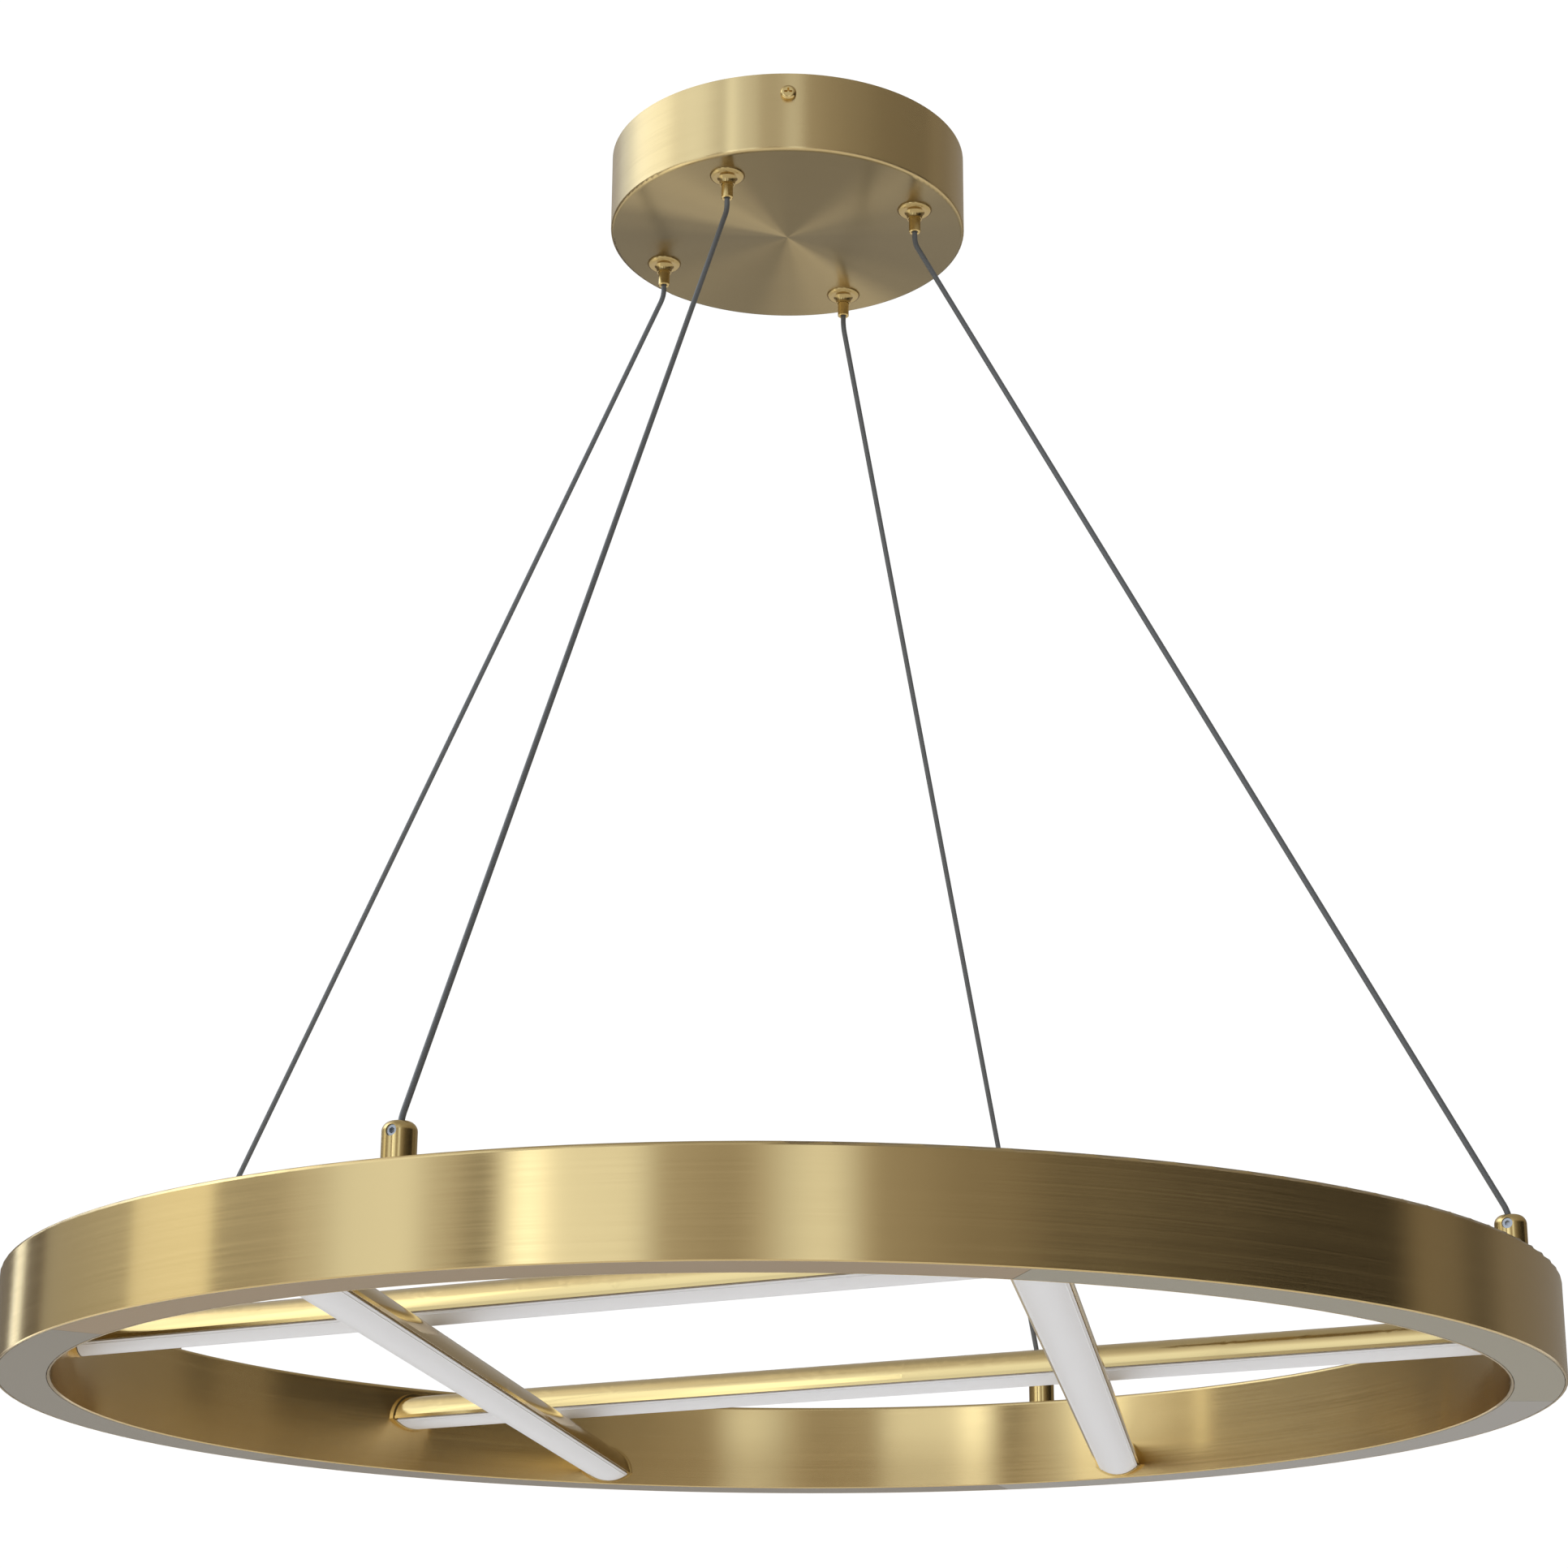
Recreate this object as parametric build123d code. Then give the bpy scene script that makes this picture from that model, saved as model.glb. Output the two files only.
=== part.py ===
from build123d import *
import math
import os

# Ring chandelier with four crossing light bars, hung on four cables from a round
# canopy.  Millimetres, +Z up.  The origin is on the ceiling, at the canopy's centre.

# ---- Driving dimensions ------------------------------------------------------------

# Ring: a rolled channel, open below, closed by flat cover segments.
ring_diameter = 800.0
ring_width = 28.0
ring_height = 50.0
ring_wall = 1.5
ring_corner = 2.0
ring_lower_corner = 0.5
cover_thickness = 1.5
cover_count = 5
cover_seam_angle = -75.0
cover_gap = 0.3

# Suspension.
ring_drop = 724.0
cable_diameter = 3.0
cable_count = 4
first_cable_angle = -115.0
grip_circle_radius = 80.5
cable_exit_run = 5.0
cable_exit_share = 0.85
cable_bend_share = 0.45
cable_seat_depth = 14.0
cable_end_gap = 0.4

# Canopy and the strap that carries it.
canopy_diameter = 206.0
canopy_height = 48.0
canopy_wall = 1.2
canopy_edge_radius = 2.2
strap_width = 22.0
strap_thickness = 2.0
strap_nut_hole = 10.5
ear_height = 19.0
ear_clearance = 0.3
slot_spacing = 82.0
slot_length = 16.0
slot_width = 5.0
canopy_screw_depth = 13.0

# Driver, its spacers and its terminal block.
driver_radius = 54.0
driver_height = 22.0
driver_wall = 2.0
driver_lid_thickness = 2.0
spacer_height = 8.0
spacer_across_flats = 7.0
spacer_offset = 19.0
lid_boss_radius = 4.5
lid_screw_length = 9.0
tail_entry_depth = 7.0
board_thickness = 1.6
board_height = 4.0
board_foot_radius = 2.5
board_foot_offset = 22.0
transformer_length = 20.0
transformer_width = 17.0
transformer_height = 7.5
capacitor_radius = 5.0
capacitor_height = 8.0
capacitor_offset = 24.0
block_length = 32.0
block_width = 18.0
block_height = 11.0
block_poles = 3
block_corner = 1.0
pole_bore_radius = 2.2
pole_screw_radius = 2.4
pole_slot_depth = 0.8

# Cable grip: flanged body, nut, washer, sprung release plunger.
flange_diameter = 20.0
flange_thickness = 2.0
shank_diameter = 10.0
shank_top_depth = 28.0
cone_height = 4.0
cone_top_diameter = 11.5
cone_tip_diameter = 8.4
cone_edge = 0.6
cone_waist_in = 0.3
cone_waist_up = 0.6
plunger_diameter = 6.6
plunger_stick_out = 8.5
plunger_collar_diameter = 7.4
plunger_collar_height = 5.0
plunger_travel = 2.5
plunger_shoulder = 2.0
plunger_edge = 0.5
plunger_cone = 0.8
grip_ball_diameter = 2.0
grip_cavity_diameter = 8.0
grip_cap = 2.0
spring_wire = 0.6
spring_coils = 7
nut_across_flats = 14.0
nut_height = 5.0
washer_diameter = 16.0
washer_thickness = 1.0

# Posts that stand on the ring and hold the cable ends.
post_diameter = 15.5
post_height = 18.0
post_edge_radius = 4.5
post_bore_diameter = 4.6
post_mouth_diameter = 9.0
post_mouth_depth = 3.0
grub_diameter = 5.0
grub_height = 13.0
grub_azimuth = -115.0
grub_socket = 2.5
grub_socket_depth = 2.0
grub_recess = 0.9
grub_cable_gap = 0.4
sleeve_diameter = 8.0
sleeve_length = 6.0
sleeve_head_diameter = 13.0
sleeve_head_height = 3.0

# Light bars: an upper pair and a lower pair that cross.
bar_width = 25.0
bar_crown = 13.0
bar_side = 1.2
bar_wall = 1.5
bar_lip = 0.5
bar_lip_height = 1.8
web_height = 4.0
upper_bar_angle = -28.0
upper_bar_offset = 157.0
upper_bar_level = 30.0
lower_bar_angle = 81.5
lower_bar_offset = 158.0
lower_bar_level = 7.0
diffuser_width = 23.4
diffuser_bulge = 4.6
diffuser_wall = 1.2
diffuser_shadow_gap = 0.7
diffuser_leg = 2.6
strip_width = 10.0
strip_thickness = 1.0
chip_size = 3.5
chip_height = 0.8
chip_pitch = 50.0
end_flange_thickness = 2.5
end_flange_margin = 1.5
end_boss_length = 11.0
end_screw_depth = 7.0
end_screw_drop = 0.4

# Wiring inside the ring.
wire_diameter = 2.4
splice_length = 18.0
splice_width = 9.0
splice_height = 8.0

# Screws.
screw_diameter = 4.0
pan_head_diameter = 9.0
pan_head_height = 3.0
small_screw_diameter = 3.0
small_head_diameter = 5.6
small_head_height = 1.8
cross_recess_width = 1.1
canopy_screw_length = 8.0
bar_head_diameter = 7.5
bar_head_height = 2.6

# Clearances.
thread_gap = 0.12
seat_gap = 0.1
running_gap = 0.3

# ---- Places worked out from them ---------------------------------------------------

outer_radius = ring_diameter / 2
inner_radius = outer_radius - ring_width
middle_radius = outer_radius - ring_width / 2
ring_bottom = -ring_drop
ring_top = ring_bottom + ring_height
cover_top = ring_bottom + cover_thickness
canopy_radius = canopy_diameter / 2
canopy_floor = -canopy_height + canopy_wall
post_top = ring_top + post_height
mouth_level = -canopy_height - flange_thickness - cone_height - plunger_stick_out
cable_angles = [first_cable_angle + 360 / cable_count * k for k in range(cable_count)]
driver_top = -strap_thickness - spacer_height
driver_bottom = driver_top - driver_height
tail_level = driver_top - tail_entry_depth
bar_seat_radius = inner_radius - end_flange_thickness


def at_angle(radius, angle, z=0.0):
    """Location at a polar place, with its own X pointing outwards."""
    return Rot(0, 0, angle) * Pos(radius, 0, z)


def turned(points):
    """Solid of revolution about Z from an outline of (radius, height) points."""
    return revolve(Plane.XZ * make_face(Polyline(*points, close=True)), Axis.Z)


def cylinder_between(radius, low, high):
    """Upright cylinder on the Z axis between two heights."""
    upright = (Align.CENTER, Align.CENTER, Align.MIN)
    return Pos(0, 0, low) * Cylinder(radius, high - low, align=upright)


def pan_screw(shank_diameter, shank_length, head_diameter, head_height):
    """Pan head screw along +Z: the head's underside is at 0 and the shank points down."""
    head = cylinder_between(head_diameter / 2, 0, head_height)
    head = fillet(head.edges().group_by(Axis.Z)[-1], head_height * 0.6)
    shank = cylinder_between(shank_diameter / 2, -shank_length, 0)
    recess_depth = head_height * 0.6
    cross = Box(head_diameter * 0.5, cross_recess_width, recess_depth)
    cross += Box(cross_recess_width, head_diameter * 0.5, recess_depth)
    return head + shank - Pos(0, 0, head_height - recess_depth / 2) * cross


def tube_along(points, radii, diameter):
    """Round tube along straight runs joined by tangent arcs."""
    path = FilletPolyline(*points, radius=radii)
    section = Plane(path @ 0, z_dir=path % 0) * Circle(diameter / 2)
    return sweep(section, path)


def bend_radii(points, shares):
    """One radius for each corner: a share of the shorter run over the tangent of half the turn."""
    corners = [Vector(*p) for p in points]
    radii = []
    for before, corner, after, share in zip(corners, corners[1:], corners[2:], shares):
        run_in, run_out = corner - before, after - corner
        turn = math.radians(run_in.get_angle(run_out))
        radii.append(share * min(run_in.length, run_out.length) / math.tan(turn / 2))
    print("bend radii", [round(radius, 1) for radius in radii])
    return radii


# ---- Ceiling side ------------------------------------------------------------------

ear_face = canopy_radius - canopy_wall - ear_clearance


def make_strap():
    """Steel strap with slots for a ceiling box and two ears bent down for the canopy."""
    hanging = (Align.CENTER, Align.CENTER, Align.MAX)
    strap = Box(strap_width, 2 * ear_face, strap_thickness, align=hanging)
    for side in (-1, 1):
        strap += Pos(0, side * ear_face, 0) * Box(
            strap_width, 2 * (strap_thickness + 2 * ear_clearance), ear_height, align=hanging)
    strap &= cylinder_between(ear_face, -ear_height - 1, 1)
    for side in (-1, 1):
        hole = Pos(0, side * canopy_radius, -canopy_screw_depth) * Rot(90, 0, 0)
        strap -= hole * Cylinder(screw_diameter / 2 + thread_gap, 8 * strap_thickness)
        strap -= Pos(0, side * slot_spacing / 2, 0) * extrude(
            Rot(0, 0, 90) * SlotOverall(slot_length, slot_width), strap_thickness, both=True)
        strap -= Pos(0, side * spacer_offset, 0) * Cylinder(
            small_screw_diameter / 2 + thread_gap, 3 * strap_thickness)
    return strap - Cylinder(strap_nut_hole / 2, 3 * strap_thickness)


def make_canopy():
    """Spun cup, open above, with a rounded lower edge and holes for grips and screws."""
    body = cylinder_between(canopy_radius, -canopy_height, 0)
    body = fillet(body.edges().group_by(Axis.Z)[0], canopy_edge_radius)
    hollow = cylinder_between(canopy_radius - canopy_wall, canopy_floor, 1)
    hollow = fillet(hollow.edges().group_by(Axis.Z)[0], canopy_edge_radius - canopy_wall)
    body -= hollow
    for angle in cable_angles:
        body -= at_angle(grip_circle_radius, angle, -canopy_height) * Cylinder(
            shank_diameter / 2 + thread_gap, 6 * canopy_wall)
    for side in (-1, 1):
        hole = Pos(0, side * canopy_radius, -canopy_screw_depth) * Rot(90, 0, 0)
        body -= hole * Cylinder(screw_diameter / 2 + thread_gap, 6 * canopy_wall)
    return body


def make_canopy_screws():
    """Two pan head screws through the canopy's side into the ears."""
    screw = pan_screw(screw_diameter, canopy_screw_length, pan_head_diameter, pan_head_height)
    seat = canopy_radius + seat_gap
    front = Pos(0, -seat, -canopy_screw_depth) * Rot(90, 0, 0) * screw
    back = Pos(0, seat, -canopy_screw_depth) * Rot(-90, 0, 0) * screw
    return [front, back]


def make_spacers():
    """Hexagon spacers that hold the driver below the strap, clear of the ceiling screws."""
    blank = extrude(RegularPolygon(spacer_across_flats / 2, 6, major_radius=False), spacer_height)
    blank -= Cylinder(small_screw_diameter / 2 + thread_gap, 3 * spacer_height)
    return [Pos(0, side * spacer_offset, driver_top) * blank for side in (-1, 1)]


def make_spacer_screws():
    """Screws from the driver's inside, through its lid and the spacer, into the strap."""
    length = driver_lid_thickness + spacer_height + strap_thickness - seat_gap
    screw = pan_screw(small_screw_diameter, length, small_head_diameter, small_head_height)
    under_lid = driver_top - driver_lid_thickness
    return [Pos(0, side * spacer_offset, under_lid) * Rot(180, 0, 0) * screw for side in (-1, 1)]


lid_screw_angles = [first_cable_angle + 45 + 90 * k for k in range(4)]
lid_screw_radius = driver_radius - driver_wall - lid_boss_radius + driver_wall / 2


def make_driver_case():
    """Round moulded cup for the driver, with bosses for the lid's screws and cable entries."""
    top = driver_top - driver_lid_thickness
    case = cylinder_between(driver_radius, driver_bottom, top)
    case = fillet(case.edges().group_by(Axis.Z)[0], driver_wall)
    case -= cylinder_between(driver_radius - driver_wall, driver_bottom + driver_wall, top + 1)
    for angle in lid_screw_angles:
        boss = cylinder_between(lid_boss_radius, driver_bottom + driver_wall, top)
        case += at_angle(lid_screw_radius, angle) * boss
        pilot = cylinder_between(small_screw_diameter / 2 + thread_gap, top - lid_screw_length, top + 1)
        case -= at_angle(lid_screw_radius, angle) * pilot
    for angle in cable_angles:
        entry = at_angle(driver_radius, angle, tail_level) * Rot(0, 90, 0)
        case -= entry * Cylinder(cable_diameter / 2 + running_gap, 4 * driver_wall)
    return case


def make_driver_lid():
    """Flat lid with holes for its own screws and the spacers' screws."""
    low = driver_top - driver_lid_thickness
    lid = cylinder_between(driver_radius, low, driver_top)
    lid = chamfer(lid.edges().group_by(Axis.Z)[-1], driver_lid_thickness * 0.4)
    hole = Cylinder(small_screw_diameter / 2 + thread_gap, 6 * driver_lid_thickness)
    for angle in lid_screw_angles:
        lid -= at_angle(lid_screw_radius, angle, driver_top) * hole
    for side in (-1, 1):
        lid -= Pos(0, side * spacer_offset, driver_top) * hole
    return lid


def make_lid_screws():
    """Four screws that close the driver."""
    screw = pan_screw(small_screw_diameter, lid_screw_length, small_head_diameter, small_head_height)
    return [at_angle(lid_screw_radius, angle, driver_top) * screw for angle in lid_screw_angles]


def make_driver_board():
    """Circuit board on the driver's floor, with a transformer and two capacitors."""
    low = driver_bottom + driver_wall + board_height
    top = low + board_thickness
    board = cylinder_between(lid_screw_radius - lid_boss_radius - running_gap, low, top)
    for foot in GridLocations(2 * board_foot_offset, 2 * board_foot_offset, 2, 2):
        board += foot * cylinder_between(board_foot_radius, low - board_height, low)
    board += Pos(0, 0, top) * Box(
        transformer_length, transformer_width, transformer_height,
        align=(Align.CENTER, Align.CENTER, Align.MIN))
    for x in (-capacitor_offset, capacitor_offset):
        board += Pos(x, 0, 0) * cylinder_between(capacitor_radius, top, top + capacitor_height)
    return board


pole_places = [(k - (block_poles - 1) / 2) * block_length / block_poles for k in range(block_poles)]


def make_terminal_block():
    """Three pole block for the supply wires, under the driver's floor."""
    block = Pos(0, 0, driver_bottom) * Box(
        block_length, block_width, block_height, align=(Align.CENTER, Align.CENTER, Align.MAX))
    block = chamfer(block.edges().filter_by(Axis.Z), block_corner)
    for x in pole_places:
        middle = driver_bottom - block_height * 0.45
        block -= Pos(x, 0, middle) * Rot(90, 0, 0) * Cylinder(pole_bore_radius, 2 * block_width)
        block -= Pos(x, 0, driver_bottom - block_height) * Cylinder(pole_screw_radius, block_height)
    return block


def make_terminal_screws():
    """Slotted clamp screws, one to a pole."""
    low = driver_bottom - block_height + running_gap
    screw = cylinder_between(pole_screw_radius - thread_gap, low, low + block_height * 0.35)
    screw -= Pos(0, 0, low) * Box(3 * pole_screw_radius, pole_screw_radius / 3, 2 * pole_slot_depth)
    return [Pos(x, 0, 0) * screw for x in pole_places]


# ---- Cable grips -------------------------------------------------------------------

shoulder_level = mouth_level + plunger_stick_out + plunger_shoulder
cavity_top = -shank_top_depth - grip_cap


def make_grip_body():
    """Turned grip: flange under the canopy, short trumpet below, threaded shank above."""
    flange_low = -canopy_height - flange_thickness
    tip = flange_low - cone_height
    rim = flange_diameter / 2
    plunger_bore = plunger_diameter / 2 + running_gap
    cable_bore = cable_diameter / 2 + running_gap
    narrow, wide = cone_tip_diameter / 2, cone_top_diameter / 2
    lip = Polyline((plunger_bore, tip), (narrow, tip), (narrow, tip + cone_edge))
    waist = (narrow + cone_waist_in * (wide - narrow), tip + cone_waist_up * cone_height)
    trumpet = ThreePointArc((narrow, tip + cone_edge), waist, (wide, flange_low))
    face = Line((wide, flange_low), (rim - flange_thickness, flange_low))
    dome = RadiusArc((rim - flange_thickness, flange_low), (rim, -canopy_height), -1.2 * flange_thickness)
    inside = Polyline(
        (rim, -canopy_height), (shank_diameter / 2, -canopy_height),
        (shank_diameter / 2, -shank_top_depth), (cable_bore, -shank_top_depth),
        (cable_bore, cavity_top), (grip_cavity_diameter / 2, cavity_top),
        (grip_cavity_diameter / 2, shoulder_level), (plunger_bore, shoulder_level), (plunger_bore, tip))
    return revolve(Plane.XZ * make_face([lip, trumpet, face, dome, inside]), Axis.Z)


def make_plunger():
    """Release plunger: push it up and the cable slides through the grip."""
    low = mouth_level
    collar_low = shoulder_level + seat_gap
    collar_high = collar_low + plunger_collar_height
    bore = cable_diameter / 2 + running_gap
    rim, collar = plunger_diameter / 2, plunger_collar_diameter / 2
    plunger = turned([
        (bore + plunger_edge, low), (rim - plunger_edge, low), (rim, low + plunger_edge),
        (rim, collar_low), (collar, collar_low), (collar, collar_high - 1.5 * plunger_cone),
        (collar - plunger_cone, collar_high), (bore, collar_high), (bore, low + plunger_edge)])
    ball_hole = Pos(0, 0, collar_low + plunger_collar_height / 2) * Rot(0, 90, 0) * Cylinder(
        grip_ball_diameter / 2, plunger_collar_diameter, align=(Align.CENTER, Align.CENTER, Align.MIN))
    for k in range(3):
        plunger -= Rot(0, 0, 120 * k) * ball_hole
    return plunger


def make_grip_spring():
    """Spring between the plunger's collar and the grip's cap."""
    low = shoulder_level + seat_gap + plunger_collar_height + spring_wire / 2
    height = cavity_top - low - spring_wire / 2
    radius = grip_cavity_diameter / 2 - running_gap - spring_wire / 2
    path = Helix(pitch=height / spring_coils, height=height, radius=radius)
    section = Plane(path @ 0, z_dir=path % 0) * Circle(spring_wire / 2)
    return Pos(0, 0, low) * sweep(section, path, is_frenet=True)


def make_grip_nut():
    """Hexagon nut that clamps the grip to the canopy's floor."""
    nut = extrude(RegularPolygon(nut_across_flats / 2, 6, major_radius=False), nut_height)
    nut -= Cylinder(shank_diameter / 2 + thread_gap, 3 * nut_height)
    return Pos(0, 0, canopy_floor + washer_thickness) * nut


def make_grip_washer():
    """Plain washer under the nut."""
    washer = cylinder_between(washer_diameter / 2, canopy_floor, canopy_floor + washer_thickness)
    return washer - Pos(0, 0, canopy_floor) * Cylinder(
        shank_diameter / 2 + thread_gap, 4 * washer_thickness)


# ---- Cables ------------------------------------------------------------------------

hinge_level = mouth_level - cable_diameter / 2 - cable_end_gap
cable_route = [
    (grip_circle_radius, 0, hinge_level),
    (grip_circle_radius, 0, hinge_level - cable_exit_run),
    (middle_radius, 0, post_top),
    (middle_radius, 0, post_top - cable_seat_depth),
]
tail_route = [
    (grip_circle_radius, 0, mouth_level),
    (grip_circle_radius, 0, tail_level),
    (driver_radius - 2 * driver_wall, 0, tail_level),
]


def make_cable():
    """Hanging cable from the grip's mouth to its seat in the post, with a ball top end."""
    radii = bend_radii(cable_route, (cable_exit_share, cable_bend_share))
    cable = tube_along(cable_route, radii, cable_diameter)
    return cable + Pos(*cable_route[0]) * Sphere(cable_diameter / 2)


def make_cable_tail():
    """The cable's upper end: through the plunger and the grip, then into the driver."""
    return tube_along(tail_route, bend_radii(tail_route, [cable_bend_share]), cable_diameter)


# ---- Ring --------------------------------------------------------------------------


def bar_ends(angle, offset):
    """Angles, seen from the ring's centre, at which a bar's axis meets the inner wall."""
    half_turn = math.degrees(math.acos(offset / inner_radius))
    return [angle + 90 - half_turn, angle + 90 + half_turn]


bars = [
    ("upper_back", upper_bar_angle, upper_bar_offset, upper_bar_level),
    ("upper_front", upper_bar_angle + 180, upper_bar_offset, upper_bar_level),
    ("lower_left", lower_bar_angle, lower_bar_offset, lower_bar_level),
    ("lower_right", lower_bar_angle + 180, lower_bar_offset, lower_bar_level),
]
cavity_low = web_height + bar_wall
screw_rise = (cavity_low + bar_side + bar_crown - bar_wall) / 2 - end_screw_drop


def make_ring_channel():
    """Rolled channel with holes for the post sleeves and the bars' screws."""
    wall_in = inner_radius + ring_wall
    wall_out = outer_radius - ring_wall
    under_top = ring_top - ring_wall
    channel = turned([
        (inner_radius + ring_lower_corner, ring_bottom), (wall_in, ring_bottom), (wall_in, under_top),
        (wall_out, under_top), (wall_out, ring_bottom), (outer_radius - ring_lower_corner, ring_bottom),
        (outer_radius, ring_bottom + ring_lower_corner), (outer_radius, ring_top),
        (inner_radius, ring_top), (inner_radius, ring_bottom + ring_lower_corner)])
    channel = fillet(channel.edges().group_by(Axis.Z)[-1], ring_corner)
    for angle in cable_angles:
        channel -= at_angle(middle_radius, angle, ring_top) * Cylinder(
            sleeve_diameter / 2 + thread_gap, 4 * ring_wall)
    for name, angle, offset, level in bars:
        for end in bar_ends(angle, offset):
            hole = at_angle(inner_radius, end, ring_bottom + level + screw_rise) * Rot(0, 90, 0)
            channel -= hole * Cylinder(screw_diameter / 2 + thread_gap, 8 * ring_wall)
    return channel


def make_cover(index):
    """One segment of the flat cover that closes the ring from below."""
    span = 360 / cover_count
    start = cover_seam_angle + span * index
    outline = Plane.XZ * Pos(middle_radius, ring_bottom + cover_thickness / 2) * Rectangle(
        ring_width - 2 * ring_wall - 2 * cover_gap, cover_thickness)
    seam = math.degrees(cover_gap / middle_radius)
    return Rot(0, 0, start + seam / 2) * revolve(outline, Axis.Z, span - seam)


def make_post():
    """Turned post with a rounded top, a flared bore for the cable and a side screw hole."""
    post = cylinder_between(post_diameter / 2, ring_top, post_top)
    post = fillet(post.edges().group_by(Axis.Z)[-1], post_edge_radius)
    bore = turned([
        (0, ring_top - 1), (sleeve_diameter / 2 + thread_gap, ring_top - 1),
        (sleeve_diameter / 2 + thread_gap, ring_top + sleeve_length + seat_gap),
        (post_bore_diameter / 2, ring_top + sleeve_length + seat_gap),
        (post_bore_diameter / 2, post_top - post_mouth_depth),
        (post_mouth_diameter / 2, post_top + seat_gap), (0, post_top + seat_gap)])
    return post - bore


def make_posts_with_grub_holes():
    """The four posts in their places, each with its side screw hole turned to the same side."""
    placed = []
    drill = Rot(0, 90, 0) * Cylinder(
        grub_diameter / 2 + thread_gap, post_diameter, align=(Align.CENTER, Align.CENTER, Align.MIN))
    for angle in cable_angles:
        hole = Rot(0, 0, grub_azimuth - angle) * Pos(0, 0, ring_top + grub_height) * drill
        placed.append(at_angle(middle_radius, angle) * (make_post() - hole))
    return placed


def make_grub_screws():
    """Socket grub screws that pinch the cable ends in the posts."""
    length = post_diameter / 2 - post_bore_diameter / 2 - grub_cable_gap - grub_recess
    screw = Cylinder(grub_diameter / 2, length, align=(Align.CENTER, Align.CENTER, Align.MIN))
    socket = extrude(RegularPolygon(grub_socket / 2, 6, major_radius=False), length)
    screw -= Pos(0, 0, length - grub_socket_depth) * socket
    placed = []
    for angle in cable_angles:
        turn = Rot(0, 0, grub_azimuth - angle) * Pos(0, 0, ring_top + grub_height) * Rot(0, 90, 0)
        placed.append(at_angle(middle_radius, angle) * turn * Pos(0, 0, post_bore_diameter / 2) * screw)
    return placed


def make_post_sleeves():
    """Hollow screws from inside the ring's channel that clamp the posts on."""
    under = ring_top - ring_wall
    bore = post_bore_diameter / 2
    sleeve = turned([
        (bore, under - sleeve_head_height), (sleeve_head_diameter / 2, under - sleeve_head_height),
        (sleeve_head_diameter / 2, under), (sleeve_diameter / 2, under),
        (sleeve_diameter / 2, ring_top + sleeve_length), (bore, ring_top + sleeve_length)])
    return [at_angle(middle_radius, angle) * sleeve for angle in cable_angles]


splice_low = cover_top + seat_gap
splice_high = splice_low + splice_height
wire_level = splice_low + splice_height / 2


def make_splices():
    """Push-in connectors that lie on the cover below each post."""
    block = Pos(0, 0, splice_low) * Box(
        splice_width, splice_length, splice_height, align=(Align.CENTER, Align.CENTER, Align.MIN))
    block = chamfer(block.edges().filter_by(Axis.Z), block_corner)
    return [at_angle(middle_radius, angle) * block for angle in cable_angles]


def make_ring_wires():
    """Wires that run round the channel from one connector to the next."""
    section = Plane.XZ * Pos(middle_radius, wire_level) * Circle(wire_diameter / 2)
    reach = math.degrees(math.atan((splice_length / 2 + seat_gap) / (middle_radius - wire_diameter)))
    span = 360 / cable_count - 2 * reach
    return [Rot(0, 0, angle + reach) * revolve(section, Axis.Z, span) for angle in cable_angles]


def make_post_leads():
    """Straight conductors from the cable ends down to the connectors."""
    lead = cylinder_between(wire_diameter / 2, splice_high, post_top - cable_seat_depth - 2 * running_gap)
    return [at_angle(middle_radius, angle) * lead for angle in cable_angles]


# ---- Light bars --------------------------------------------------------------------


def crown_outline(half_width, base, crown):
    """Half oval standing on a base line, as one closed face in the bar's section."""
    low = Line((-half_width, base), (half_width, base))
    arc = EllipticalCenterArc((0, base), half_width, crown, start_angle=0, arc_size=180)
    return make_face([low, arc])


def dome_outline(half_width, base, bulge):
    """Round segment hanging below a base line."""
    low = Line((-half_width, base), (half_width, base))
    arc = ThreePointArc((-half_width, base), (0, base - bulge), (half_width, base))
    return make_face([low, arc])


def along_bar(section, angle, offset, level):
    """Section drawn across the bar, carried along it past both ends of the ring's bore."""
    solid = extrude(Plane.YZ * section, inner_radius, both=True)
    return Rot(0, 0, angle) * Pos(0, offset, ring_bottom + level) * solid


def bore_plug(radius):
    """Cylinder that trims a bar to the ring's bore."""
    return cylinder_between(radius, ring_bottom - ring_height, ring_top + ring_height)


def housing_section():
    """Extruded housing: oval crown, side lips, a web for the lights, a channel below it."""
    half = bar_width / 2
    outer = crown_outline(half, bar_side, bar_crown)
    outer += Pos(0, bar_side / 2) * Rectangle(bar_width, bar_side)
    outer += Pos(0, bar_lip_height / 2) * Rectangle(bar_width + 2 * bar_lip, bar_lip_height)
    cavity = crown_outline(half - bar_wall, bar_side, bar_crown - bar_wall)
    cavity -= Pos(0, cavity_low - bar_width / 2) * Rectangle(bar_width, bar_width)
    channel = crown_outline(half - bar_wall, 0, bar_crown)
    channel -= Pos(0, web_height + bar_width / 2) * Rectangle(bar_width, bar_width)
    return outer - cavity - channel


def diffuser_section():
    """Opal cover: a shallow dome below the lips with two legs inside the channel."""
    base = -diffuser_shadow_gap
    shell = dome_outline(diffuser_width / 2, base, diffuser_bulge)
    shell -= dome_outline(diffuser_width / 2 - diffuser_wall, base, diffuser_bulge - diffuser_wall)
    leg_outer = bar_width / 2 - bar_wall - 2 * seat_gap
    leg = Rectangle(diffuser_wall, diffuser_leg + diffuser_wall)
    rise = base + (diffuser_leg - diffuser_wall) / 2
    for side in (-1, 1):
        shell += Pos(side * (leg_outer - diffuser_wall / 2), rise) * leg
    return shell


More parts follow.
